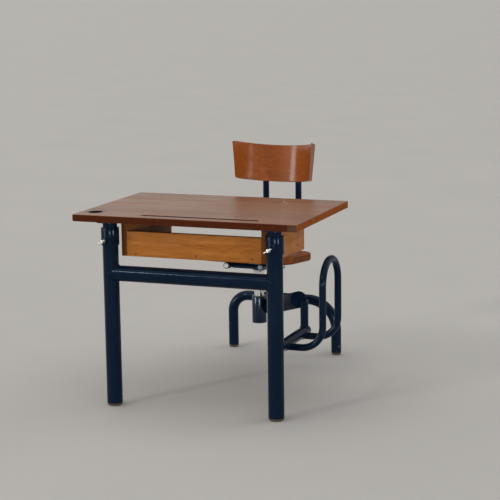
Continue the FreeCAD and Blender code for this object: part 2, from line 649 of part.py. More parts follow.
seat_foot = tube_axis(sheet.seat_front) + lift * (tube_radius + sheet.seat_gap)
seat_middle = seat_foot + fall * (sheet.seat_depth / 2)
blank = block("seat_width", "seat_depth", "seat_thickness", seat_foot - ALONG_X * (sheet.seat_width / 2), seat_turn)
for radius, end in ((sheet.seat_front_corner, -1), (sheet.seat_rear_corner, 1)):
    blank = round_edges(blank, radius, lambda edge: runs_along(lift)(edge)
                        and (edge.CenterOfMass - seat_middle).dot(fall) * end > sheet.seat_depth / 4)
blank = round_edges(blank, sheet.seat_edge_round, runs_across(lift))
hollow_reach = sheet.seat_width / 2 - sheet.seat_edge_round
hollow_radius = (hollow_reach ** 2 + sheet.seat_hollow ** 2) / (2 * sheet.seat_hollow)
hollow = doc.addObject("Part::Sphere", "hollow")
hollow.Radius = hollow_radius
hollow.Placement = FreeCAD.Placement(seat_middle + lift * (sheet.seat_thickness - sheet.seat_hollow + hollow_radius),
                                     FreeCAD.Rotation(ALONG_X, UP))
node(cut(blank, hollow, *shanks(seat_screw_ends)), "seat_panel")
node(group(*[pan_screw(a, (b - a).normalize(), b) for a, b in seat_screw_ends]), "seat_screws")

# Backrest: a plywood shell bent to an arc, trimmed by straight cuts, wider at the top, leaning back

back_axis = back_middle - rake_back * back_depth - rake_along * (sheet.back_height / 2)
shell = cut(rod("back_radius + back_thickness", "back_height", back_axis, rake_along),
            rod("back_radius", "back_height + 2 * overrun", back_axis - rake_along * sheet.overrun, rake_along))
shell = round_edges(shell, sheet.back_edge_round, runs_across(rake_along))
trim = bind(doc.addObject("Part::Wedge", "trim"), Xmin="- back_bottom_width / 2", Xmax="back_bottom_width / 2",
            X2min="- back_top_width / 2", X2max="back_top_width / 2", Ymin="0", Ymax="back_height",
            Zmin="0", Zmax="2 * back_radius", Z2min="0", Z2max="2 * back_radius")
trim.Placement = FreeCAD.Placement(back_axis + rake_back * (2 * sheet.back_radius),
                                   FreeCAD.Rotation(ALONG_X, rake_along, rake_back * -1, "ZYX"))
trim = round_edges(trim, sheet.back_corner, runs_along(rake_back))
node(cut(common(shell, trim), *shanks(back_screw_ends)), "backrest")
node(group(*[pan_screw(a, (b - a).normalize(), b) for a, b in back_screw_ends]), "backrest_screws")

# The origin goes to the floor below the middle of the whole object

doc.recompute()
whole = FreeCAD.BoundBox()
for piece in nodes:
    whole.add(piece.Shape.optimalBoundingBox())
middle = vec(whole.Center.x, whole.Center.y, 0)
for piece in nodes:
    piece.Placement = FreeCAD.Placement(piece.Placement.Base - middle, piece.Placement.Rotation)
doc.recompute()

# Check every object, then write each piece to its own file

failed = [thing.Name for thing in doc.Objects if {"Invalid", "Error"} & set(thing.State)]
broken = [piece.Label for piece in nodes if piece.Shape.isNull() or not piece.Shape.isValid()]
if failed or broken:
    raise RuntimeError(f"failed objects {failed}, broken pieces {broken}")
os.makedirs("parts", exist_ok=True)
for piece in nodes:
    piece.Shape.exportStep(f"parts/{piece.Label}.step")
    print(piece.Label, len(piece.Shape.Solids), round(piece.Shape.Volume))
print("leg line at", -middle)
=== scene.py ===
"""Looks of a school desk with its attached seat: enamelled steel tube, varnished boards, bent plywood.

Metres, in the part's own frame: +Z up, +X towards the satchel hoop, +Y from the desk towards the seat.
"""
import json
import math
import random

import bmesh
import bpy
import numpy as np
from mathutils import Matrix, Vector

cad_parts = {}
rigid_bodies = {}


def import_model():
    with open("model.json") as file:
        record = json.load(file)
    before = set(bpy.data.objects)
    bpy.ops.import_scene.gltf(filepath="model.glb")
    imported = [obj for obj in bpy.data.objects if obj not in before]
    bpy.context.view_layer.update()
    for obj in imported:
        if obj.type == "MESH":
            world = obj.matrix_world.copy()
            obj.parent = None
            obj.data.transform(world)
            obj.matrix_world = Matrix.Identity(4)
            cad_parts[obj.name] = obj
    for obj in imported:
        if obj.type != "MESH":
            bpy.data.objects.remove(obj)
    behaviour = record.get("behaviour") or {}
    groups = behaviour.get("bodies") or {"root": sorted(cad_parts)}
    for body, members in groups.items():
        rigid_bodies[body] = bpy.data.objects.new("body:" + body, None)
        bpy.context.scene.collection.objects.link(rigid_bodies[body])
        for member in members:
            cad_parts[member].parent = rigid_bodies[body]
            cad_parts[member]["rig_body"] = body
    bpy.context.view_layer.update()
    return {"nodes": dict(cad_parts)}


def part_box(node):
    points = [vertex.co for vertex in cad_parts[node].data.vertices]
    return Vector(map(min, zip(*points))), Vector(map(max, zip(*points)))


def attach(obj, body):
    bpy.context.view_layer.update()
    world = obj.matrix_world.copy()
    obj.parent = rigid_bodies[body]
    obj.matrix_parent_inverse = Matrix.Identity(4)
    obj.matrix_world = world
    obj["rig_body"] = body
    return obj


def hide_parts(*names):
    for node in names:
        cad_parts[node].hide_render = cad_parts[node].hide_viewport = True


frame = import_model()
nodes = frame["nodes"]


# Tubes: the legs, the crossbar, the rear arch, the links, the satchel hoop and the seat's two tubes.
# They are drawn steel tube, bent cold and welded, then dipped in dark blue enamel, which shoes and
# satchels have scuffed near the floor and chipped here and there down to rusty steel.

class Finish:
    """A material built up node by node. Values that are the same all over go on the shader's own sockets."""

    def __init__(self, name, **even):
        self.material = bpy.data.materials.new(name)
        self.material.use_nodes = True
        self.tree = self.material.node_tree
        self.shader = self.tree.nodes["Principled BSDF"]
        for socket, value in even.items():
            self.shader.inputs[socket.replace("_", " ")].default_value = value
        self.place = self.add("TexCoord").outputs["Object"]
        self.normal = self.add("NewGeometry").outputs["Normal"]

    def add(self, kind, *inputs, **settings):
        node = self.tree.nodes.new("ShaderNode" + kind)
        for name, value in settings.items():
            setattr(node, name, value)
        for socket, value in zip(node.inputs, inputs):
            self.feed(socket, value)
        return node

    def feed(self, socket, value):
        if isinstance(value, bpy.types.NodeSocket):
            self.tree.links.new(value, socket)
        elif value is not None:
            socket.default_value = value

    def sum(self, operation, a, b=None, c=None):
        return self.add("Math", a, b, c, operation=operation).outputs[0]

    def parts(self, vector):
        return self.add("SeparateXYZ", vector).outputs

    def stretched(self, factors, place=None):
        return self.add("VectorMath", place or self.place, factors, operation="MULTIPLY").outputs[0]

    def noise(self, place, scale, detail=2.0, rough=0.5, distortion=0.0):
        node = self.add("TexNoise")
        for socket, value in (("Vector", place), ("Scale", scale), ("Detail", detail), ("Roughness", rough),
                              ("Distortion", distortion)):
            self.feed(node.inputs[socket], value)
        return node.outputs[0]

    def fade(self, value, start, end, low=0.0, high=1.0):
        """A smooth step from low to high as the value goes from start to end."""
        node = self.add("MapRange", value, start, end, low, high, interpolation_type="SMOOTHSTEP")
        return node.outputs[0]

    def both(self, a, b):
        return self.sum("MULTIPLY", a, b)

    def blend(self, share, a, b):
        node = self.add("Mix", share, data_type="RGBA")
        self.feed(node.inputs[6], a)
        self.feed(node.inputs[7], b)
        return node.outputs[2]

    def relief(self, height, depth, strength=1.0, under=None):
        node = self.add("Bump")
        node.inputs["Strength"].default_value = strength
        node.inputs["Distance"].default_value = depth
        self.feed(node.inputs["Height"], height)
        self.feed(node.inputs["Normal"], under)
        return node.outputs[0]

    def show(self, colour, roughness, normal):
        self.feed(self.shader.inputs["Base Color"], colour)
        self.feed(self.shader.inputs["Roughness"], roughness)
        self.feed(self.shader.inputs["Normal"], normal)
        return self


def blue_enamel(name, shine, smooth, dull):
    """Enamel that reflects as much as its shine says, with a roughness that wanders from smooth to dull."""
    made = Finish(name, IOR=1.5, Specular_IOR_Level=shine, Specular_Tint=(0.60, 0.77, 1.0, 1))
    deep, lighter = (0.0010, 0.0048, 0.0140, 1), (0.0030, 0.0104, 0.0260, 1)
    primer, rust, dust = (0.075, 0.070, 0.066, 1), (0.085, 0.032, 0.014, 1), (0.060, 0.060, 0.062, 1)
    scuff_height, peel_depth, chip_depth = 0.075, 0.0004, 0.00025
    height = made.parts(made.place)[2]
    facing_up = made.parts(made.normal)[2]
    colour = made.blend(made.noise(made.place, 7.0, 3.0), deep, lighter)
    low = made.fade(height, scuff_height, 0.0)
    spots = made.noise(made.place, 62.0, 5.0, 0.62)
    areas = made.fade(made.noise(made.place, 5.5, 2.0), 0.56, 0.70)
    worn = made.sum("MAXIMUM", areas, made.sum("MULTIPLY", low, 0.55))
    limit = made.fade(worn, 0.0, 1.0, 0.76, 0.615)
    above = made.sum("SUBTRACT", spots, limit)
    chipped = made.fade(above, 0.0, 0.012)
    bare = made.fade(above, 0.022, 0.040)
    rubbed = made.noise(made.stretched((210.0, 210.0, 9.0)), 1.0, 3.0, 0.6)
    scratched = made.both(made.fade(rubbed, 0.66, 0.72), made.fade(made.noise(made.place, 9.0), 0.48, 0.64))
    dusty = made.fade(made.noise(made.place, 24.0, 4.0), 0.35, 0.75)
    dusty = made.both(made.fade(facing_up, 0.35, 1.0), dusty)
    colour = made.blend(made.both(dusty, 0.08), colour, dust)
    colour = made.blend(made.both(scratched, 0.35), colour, primer)
    colour = made.blend(chipped, colour, primer)
    colour = made.blend(bare, colour, rust)
    sheen = made.fade(made.noise(made.place, 17.0, 4.0), 0.3, 0.75, smooth, dull)
    sheen = made.sum("ADD", sheen, made.both(made.sum("MAXIMUM", chipped, made.both(scratched, 0.5)), 0.4))
    peel = made.relief(made.noise(made.place, 150.0, 1.0), peel_depth, 0.5)
    chips = made.relief(made.sum("MULTIPLY", chipped, -1.0), chip_depth, 0.9, peel)
    return made.show(colour, sheen, chips)


def dress(finish, *names):
    """Gives CAD nodes whose shape is right their finish."""
    for name in names:
        for material_slot in nodes[name].material_slots:
            material_slot.material = finish.material


plain_gloss = {"shine": 0.14, "smooth": 0.11, "dull": 0.24}
enamel = blue_enamel("blue_enamel", **plain_gloss)
trodden_enamel = blue_enamel("trodden_enamel", shine=0.04, smooth=0.50, dull=0.66)
dress(trodden_enamel, "link_arm")
dress(enamel, "left_leg", "right_leg", "leg_crossbar", "rear_arch", "pedestal_beam", "link_rail",
      "link_riser", "satchel_hoop", "left_seat_tube", "right_seat_tube", "seat_tie_bar",
      "left_sliding_post", "right_sliding_post")


# Collars, brackets, sleeve, boss and end caps: turned, sawn and pressed steel in the same enamel, welded on.
# Each is the CAD shape with its arrises broken by a file, as they are before such work is enamelled.

crease = math.radians(32)
same_point = 0.000002
same_plane = math.radians(0.5)


def welded_mesh(name):
    """A CAD node's own mesh with its split points joined and its flat faces whole."""
    shape = bmesh.new()
    shape.from_mesh(nodes[name].data)
    bmesh.ops.remove_doubles(shape, verts=shape.verts, dist=same_point)
    bmesh.ops.dissolve_limit(shape, angle_limit=same_plane, verts=shape.verts, edges=shape.edges)
    return shape


def eased(shape, width, steps=2):
    """Breaks the sharp edges of a mesh."""
    sharp = [e for e in shape.edges if len(e.link_faces) == 2 and e.calc_face_angle() > crease]
    bmesh.ops.bevel(shape, geom=sharp, offset=width, offset_type="OFFSET", segments=steps, profile=0.5,
                    affect="EDGES", clamp_overlap=True)
    return shape


def piece(name, shape, body, finish, stands_for=()):
    """Makes a mesh into a piece that moves with a CAD body."""
    mesh = bpy.data.meshes.new(name)
    shape.to_mesh(mesh)
    shape.free()
    mesh.materials.append(finish.material)
    mesh.shade_smooth()
    mesh.set_sharp_from_angle(angle=crease)
    made = bpy.data.objects.new(name, mesh)
    bpy.context.scene.collection.objects.link(made)
    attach(made, body)
    if stands_for:
        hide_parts(*stands_for)
    return made


def body_of(node):
    return nodes[node]["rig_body"]


gripped_enamel = blue_enamel("gripped_enamel", shine=0.50, smooth=0.20, dull=0.30)
collar_filed, bracket_filed, sleeve_filed, boss_filed, cap_filed = 0.0014, 0.0008, 0.0006, 0.0010, 0.0008
for node, filed, finish in (
        ("left_leg_collar", collar_filed, enamel), ("right_leg_collar", collar_filed, enamel),
        ("left_top_bracket", bracket_filed, enamel), ("right_top_bracket", bracket_filed, enamel),
        ("post_sleeve", sleeve_filed, gripped_enamel), ("clamp_boss", boss_filed, enamel),
        ("rail_end_cap", cap_filed, enamel), ("arm_end_caps", cap_filed, trodden_enamel)):
    piece(node + "_filed", eased(welded_mesh(node), filed), body_of(node), finish, (node,))


# Weld beads: where one tube was mitred against another and run round with a rod. Each is a rippled ring
# of weld metal, enamelled over, that follows the line in which the two tubes meet.

bead_radius = 0.0026
ripple_pitch = 0.0034
ripple_share = 0.14
uneven_share = 0.05
bead_sides = 8
dice = random.Random(11)


def cross_axes(direction):
    """Two directions square to a given one."""
    first = direction.orthogonal().normalized()
    return first, direction.cross(first).normalized()


def saddle_line(host, host_along, host_radius, branch, away, branch_radius, count=220):
    """Points where a branch tube meets a host tube; away points from the host along the branch."""
    first, second = cross_axes(away)
    line = []
    for i in range(count):
        turn = math.tau * i / count
        start = branch + (first * math.cos(turn) + second * math.sin(turn)) * branch_radius
        off = start - host
        off -= host_along * off.dot(host_along)
        step = away - host_along * away.dot(host_along)
        a, b, c = step.dot(step), off.dot(step), off.dot(off) - host_radius ** 2
        line.append(start + away * ((-b + math.sqrt(max(b * b - a * c, 0.0))) / a))
    return line


def flank_line(host, host_radius, foot, away, branch_radius, count=360):
    """Points where a tube that passes beside an upright host touches it, from its end round and back."""
    over, under = [], []
    up = Z - away * away.z
    start = math.atan2(foot.y - host.y, foot.x - host.x) + math.pi
    for i in range(count):
        turn = start + math.tau * i / count
        place = host + Vector((math.cos(turn), math.sin(turn), 0)) * host_radius
        off = place - foot
        off -= away * off.dot(away)
        a, b, c = up.dot(up), off.dot(up), off.dot(off) - branch_radius ** 2
        if b * b < a * c:
            continue
        for sign, line in ((1, over), (-1, under)):
            point = place + Z * ((-b + sign * math.sqrt(b * b - a * c)) / a)
            if (point - foot).dot(away) > 0:
                line.append(point)
    return over[::-1] + under


def ring_line(centre, along, radius, count=200):
    """Points round a circle that is square to a direction."""
    first, second = cross_axes(along)
    turns = [math.tau * i / count for i in range(count)]
    return [centre + (first * math.cos(t) + second * math.sin(t)) * radius for t in turns]


def bead(shape, line, closed=True, radius=bead_radius):
    """Adds a rippled bead along a line of points."""
    count = len(line)
    rings = []
    run = 0.0
    for i, point in enumerate(line):
        before = line[i - 1] if closed or i else point
        after = line[(i + 1) % count] if closed or i + 1 < count else point
        run += (point - before).length
        along = (after - before).normalized()
        first, second = cross_axes(along)
        ripple = ripple_share * math.sin(math.tau * run / ripple_pitch)
        swell = 1 + ripple + dice.uniform(-uneven_share, uneven_share)
        rings.append([shape.verts.new(point + (first * math.cos(t) + second * math.sin(t)) * radius * swell)
                      for t in (math.tau * k / bead_sides for k in range(bead_sides))])
    pairs = zip(rings, rings[1:] + rings[:1]) if closed else zip(rings, rings[1:])
    for one, two in pairs:
        nearest = min(range(bead_sides), key=lambda k: (two[k].co - one[0].co).length)
        for k in range(bead_sides):
            corners = (one[k], one[(k + 1) % bead_sides], two[(k + 1 + nearest) % bead_sides],
                       two[(k + nearest) % bead_sides])
            shape.faces.new(corners)
    if not closed:
        shape.faces.new(rings[0][::-1])
        shape.faces.new(rings[-1])


def middle(node):
    """Middle of a CAD node's box."""
    low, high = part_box(node)
    return (low + high) / 2


X, Y, Z = Vector((1, 0, 0)), Vector((0, 1, 0)), Vector((0, 0, 1))
leg_radius, bar_radius, arch_radius = 0.025, 0.025, 0.018
rail_radius, riser_radius, arm_radius, hoop_radius = 0.017, 0.013, 0.027, 0.011
sleeve_radius, beam_radius, boss_radius = 0.025, 0.017, 0.009
seat_tube_radius, tie_radius = 0.011, 0.007
left_leg, right_leg, bar = middle("left_leg"), middle("right_leg"), middle("leg_crossbar")
rail, riser, sleeve = middle("link_rail"), middle("link_riser"), middle("post_sleeve")
beam, tie, arch = middle("pedestal_beam"), middle("seat_tie_bar"), middle("rear_arch")
arch.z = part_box("rear_arch")[1].z - arch_radius
hoop_low, hoop_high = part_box("satchel_hoop")
hoop_runs = (hoop_low.y + hoop_radius, hoop_high.y - hoop_radius)
hoop_feet = [Vector((rail.x, y, hoop_low.z + hoop_radius)) for y in hoop_runs]
foot_aside, foot_behind, foot_height = 0.036, 0.021, 0.215
tip_aside, tip_behind, tip_height = 0.021, 0.007, 0.320
arm_foot = Vector((sleeve.x + foot_aside, sleeve.y + foot_behind, foot_height))
arm_tip = Vector((riser.x - tip_aside, riser.y + tip_behind, tip_height))
arm_away = (arm_tip - arm_foot).normalized()
seat_slope = math.radians(6)
seat_fall = Vector((0, math.cos(seat_slope), -math.sin(seat_slope)))
boss_turn = math.radians(120)
boss_away = Vector((math.cos(boss_turn), math.sin(boss_turn), 0))
boss_height = middle("clamp_boss").z

frame_welds = bmesh.new()
for host, host_along, host_radius, branch, away, branch_radius in (
        (left_leg, Z, leg_radius, (left_leg.x, bar.y, bar.z), X, bar_radius),
        (right_leg, Z, leg_radius, (right_leg.x, bar.y, bar.z), -X, bar_radius),
        (right_leg, Z, leg_radius, (rail.x, right_leg.y, rail.z), Y, rail_radius),
        (rail, Y, rail_radius, (riser.x, riser.y, rail.z), Z, riser_radius),
        (sleeve, Z, sleeve_radius, (sleeve.x, sleeve.y, beam.z), Y, beam_radius),
        (arch, X, arch_radius, (beam.x, arch.y, beam.z), -Y, beam_radius),
        (sleeve, Z, sleeve_radius, (sleeve.x, sleeve.y, boss_height), boss_away, boss_radius)):
    bead(frame_welds, saddle_line(host, host_along, host_radius, Vector(branch), away, branch_radius))
bead(frame_welds, flank_line(sleeve, sleeve_radius, arm_foot, arm_away, arm_radius), closed=False)
for foot in hoop_feet:
    bead(frame_welds, saddle_line(rail, Y, rail_radius, foot, X, hoop_radius))
piece("frame_welds", frame_welds, "frame", enamel)

table_welds = bmesh.new()
seam_radius, seam_rise = 0.0011, 0.0006
for side in ("left", "right"):
    post = middle(side + "_sliding_post")
    low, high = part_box(side + "_sliding_post")
    seam = ring_line(Vector((post.x, post.y, high.z + seam_rise)), Z, (high.x - low.x) / 2)
    bead(table_welds, seam, radius=seam_radius)
piece("table_welds", table_welds, "table", enamel)

seat_welds = bmesh.new()
tie_steps = 80
for away, side in ((X, "left"), (-X, "right")):
    low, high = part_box(side + "_seat_tube")
    tube = Vector(((low.x + high.x) / 2, tie.y, tie.z))
    bead(seat_welds, saddle_line(tube, seat_fall, seat_tube_radius, tube, away, tie_radius, tie_steps))
piece("seat_welds", seat_welds, "seat", enamel)


# Leg glides: turned brown plugs of hard rubber pushed into the four tube ends.
# Their lower rim is rounded and scuffed grey from sliding over school floors.

def turned(shape, profile, foot, along, steps=48):
    """Adds a turned form: (radius, height) pairs from the foot upwards, closed on the axis at both ends."""
    first, second = cross_axes(along)
    rings = []
    for radius, height in profile:
        centre = foot + along * height
        if radius == 0:
            rings.append([shape.verts.new(centre)])
            continue
        rings.append([shape.verts.new(centre + (first * math.cos(t) + second * math.sin(t)) * radius)
                      for t in (math.tau * k / steps for k in range(steps))])
    for low, high in zip(rings, rings[1:]):
        for k in range(steps):
            after = (k + 1) % steps
            if len(low) == 1:
                shape.faces.new((low[0], high[after], high[k]))
            elif len(high) == 1:
                shape.faces.new((low[k], low[after], high[0]))
            else:
                shape.faces.new((low[k], low[after], high[after], high[k]))


def brown_rubber():
    made = Finish("brown_rubber", IOR=1.5)
    brown, paler, scuffed = (0.045, 0.022, 0.012, 1), (0.085, 0.046, 0.026, 1), (0.16, 0.14, 0.12, 1)
    scuff_height, pit_depth = 0.006, 0.0002
    height = made.parts(made.place)[2]
    colour = made.blend(made.noise(made.place, 60.0, 4.0), brown, paler)
    streaks = made.noise(made.stretched((140.0, 140.0, 420.0)), 1.0, 3.0)
    colour = made.blend(made.both(made.fade(height, scuff_height, 0.0), streaks), colour, scuffed)
    dull = made.fade(made.noise(made.place, 90.0, 3.0), 0.3, 0.7, 0.55, 0.8)
    return made.show(colour, dull, made.relief(made.noise(made.place, 700.0, 3.0), pit_depth, 0.5))


rubber = brown_rubber()
foot_dish, spigot_inset, glide_height = 0.0004, 0.0024, 0.009
# how far in from the tube's skin, and how high, from the sole to the tube's end
glide_outline = ((0.0062, 0.0), (0.0040, 0.0004), (0.0028, 0.0018), (0.0012, 0.0058), (0.0002, 0.0080),
                 (0.0004, 0.0087), (0.0014, glide_height), (0.0022, glide_height))
for node, radius in (("front_leg_glides", leg_radius), ("rear_foot_glides", arch_radius)):
    low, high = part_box(node)
    feet = bmesh.new()
    profile = [(0, foot_dish)] + [(radius - inset, height) for inset, height in glide_outline]
    profile += [(radius - spigot_inset, high.z), (0, high.z)]
    for x in (low.x + radius, high.x - radius):
        turned(feet, profile, Vector((x, (low.y + high.y) / 2, 0)), Z)
    piece(node + "_turned", feet, "frame", rubber, (node,))


# Sleeve bushes: two flanged rings of black nylon that guide the seat post. They are turned, pressed into the
# two ends of the sleeve, and slightly greasy.

def black_nylon():
    made = Finish("black_nylon", IOR=1.53)
    turning_depth = 0.00015
    black, grey = (0.012, 0.012, 0.013, 1), (0.032, 0.031, 0.030, 1)
    colour = made.blend(made.noise(made.place, 120.0, 4.0), black, grey)
    greasy = made.fade(made.noise(made.place, 45.0, 3.0), 0.35, 0.7, 0.28, 0.55)
    turning = made.noise(made.stretched((1.0, 1.0, 30.0)), 60.0)
    return made.show(colour, greasy, made.relief(turning, turning_depth, 0.4))


nylon = black_nylon()
bush_eased = 0.0006
for node in ("lower_sleeve_bush", "upper_sleeve_bush"):
    piece(node + "_turned", eased(welded_mesh(node), bush_eased), "frame", nylon, (node,))


# Seat post: bright drawn steel tube, left bare so that it slides in its bushes. Use has polished it, with
# fine lines along its length, and damp hands have clouded it.

def bright_steel(name, tone, smooth, dull):
    """Bare steel, clouded here and there, with a roughness from smooth to dull in fine lines."""
    made = Finish(name, Metallic=1.0)
    tarnish_share, line_depth = 0.42, 0.00008
    clean, tarnish = (*tone, 1), tuple(tarnish_share * c for c in tone) + (1,)
    lines = made.noise(made.stretched((620.0, 620.0, 14.0)), 1.0, 3.0, 0.6)
    cloud = made.fade(made.noise(made.place, 38.0, 5.0, 0.6), 0.42, 0.72)
    colour = made.blend(cloud, clean, tarnish)
    rough = made.sum("ADD", made.fade(lines, 0.3, 0.7, smooth, dull), made.both(cloud, 0.18))
    return made.show(colour, rough, made.relief(lines, line_depth, 0.35))


post_tone = (0.78, 0.78, 0.77)
dress(bright_steel("polished_post", post_tone, smooth=0.10, dull=0.24), "seat_post")


# Seat head: a pressed steel plate with a turned socket, welded to the post's top. The plate is enamelled like
# the tubes, and the socket below it is left bare and bright, as the post is.

def bare_below(finish, height, edge, tone, smooth):
    """Turns an enamel to bare bright steel below a height, over the width of an edge."""
    sockets = finish.shader.inputs
    painted, sheen = (sockets[name].links[0].from_socket for name in ("Base Color", "Roughness"))
    bare = finish.fade(finish.parts(finish.place)[2], height, height - edge)
    finish.feed(sockets["Base Color"], finish.blend(bare, painted, (*tone, 1)))
    finish.feed(sockets["Roughness"], finish.add("Mix", bare, None, sheen, smooth).outputs[0])
    finish.feed(sockets["Metallic"], bare)
    return finish


socket_depth, head_filed, paint_edge = 0.007, 0.0010, 0.0004
paint_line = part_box("seat_head")[0].z + socket_depth - paint_edge
head_finish = blue_enamel("head_enamel", **plain_gloss)
head_finish = bare_below(head_finish, paint_line, paint_edge, post_tone, smooth=0.16)
piece("seat_head_filed", eased(welded_mesh("seat_head"), head_filed), body_of("seat_head"),
      head_finish, ("seat_head",))


# Wing screws: three cast clamp screws, plated once and now dull. The casting is soft-edged, so each CAD
# shape is cast over again in fine voxels and smoothed.

plated = bright_steel("plated_casting", (0.88, 0.87, 0.83), smooth=0.28, dull=0.46)
cast_voxel = 0.0006
cast_passes = 10
for node in ("left_wing_screw", "right_wing_screw", "seat_clamp_screw"):
    pattern = bpy.data.objects.new(node + "_pattern", nodes[node].data.copy())
    bpy.context.scene.collection.objects.link(pattern)
    grain = pattern.modifiers.new("grain", "REMESH")
    grain.mode = "VOXEL"
    grain.voxel_size = cast_voxel
    softened = pattern.modifiers.new("softened", "SMOOTH")
    softened.iterations = cast_passes
    casting = bmesh.new()
    casting.from_object(pattern, bpy.context.evaluated_depsgraph_get())
    bpy.data.objects.remove(pattern)
    made = piece(node + "_cast", casting, body_of(node), plated, (node,))
    made.data.set_sharp_from_angle(angle=math.pi)


# Screw heads: slotted steel wood screws hold the brackets, the seat and the backrest. Each head is a low
# dome, turned and then sawn across for the driver.

screw_finish = bright_steel("screw_steel", (0.40, 0.39, 0.37), smooth=0.28, dull=0.46)
dress(screw_finish, "bracket_screws", "seat_screws", "backrest_screws")
dome_share = 0.28
slot_share = 0.11
head_share = 0.98
head_steps = 28
dome_shares = ((1.0, 0.0), (0.97, 0.35), (0.8, 0.75), (0.45, 0.95), (0, 1.0))
most_corners = 8


def slotted_head(shape, centre, outward, radius):
    """Adds a domed head in two halves with a saw cut between them."""
    height = radius * dome_share
    profile = [(0, 0.0)] + [(radius * out, height * up) for out, up in dome_shares]
    first, second = cross_axes(outward)
    turn = dice.uniform(0, math.pi)
    across = first * math.cos(turn) + second * math.sin(turn)
    for side in (-1, 1):
        half = bmesh.new()
        turned(half, profile, centre, outward, head_steps)
        everything = half.verts[:] + half.edges[:] + half.faces[:]
        saw_line = centre + across * (side * slot_share * radius)
        cut = bmesh.ops.bisect_plane(half, geom=everything, plane_co=saw_line, plane_no=across * side,
                                     clear_inner=True)
        rim = [g for g in cut["geom_cut"] if isinstance(g, bmesh.types.BMEdge)]
        bmesh.ops.holes_fill(half, edges=rim)
        bmesh.ops.recalc_face_normals(half, faces=half.faces)
        finished = bpy.data.meshes.new("half_head")
        half.to_mesh(finished)
        half.free()
        shape.from_mesh(finished)
        bpy.data.meshes.remove(finished)


for node, outward in (("bracket_screws", -Z), ("seat_screws", -Z), ("backrest_screws", Y)):
    screws = welded_mesh(node)
    heads = bmesh.new()
    waiting = set(screws.faces)
    while waiting:
        island, edge_of_it = set(), [waiting.pop()]
        while edge_of_it:
            face = edge_of_it.pop()
            island.add(face)
            beside = {f for e in face.edges for f in e.link_faces} & waiting
            waiting -= beside
            edge_of_it.extend(beside)
        round_ends = [f for f in island if len(f.verts) > most_corners]
        flat = max(round_ends, key=lambda f: f.calc_center_median().dot(outward))
        centre = flat.calc_center_median()
        slotted_head(heads, centre, flat.normal.copy(), (flat.verts[0].co - centre).length * head_share)
    screws.free()
    piece(node + "_heads", heads, body_of(node), screw_finish)


# Desk top: one board glued up from five strips of hardwood, its grain along the desk. The varnish has gone
# brown and glossy, dark at the edges, with ink round the well and in the pen groove.

top_low, top_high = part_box("desk_top")
inkwell_inset, inkwell_setback, inkwell_radius = 0.050, 0.066, 0.023
inkwell = Vector((top_low.x + inkwell_inset, top_low.y + inkwell_setback, top_high.z))


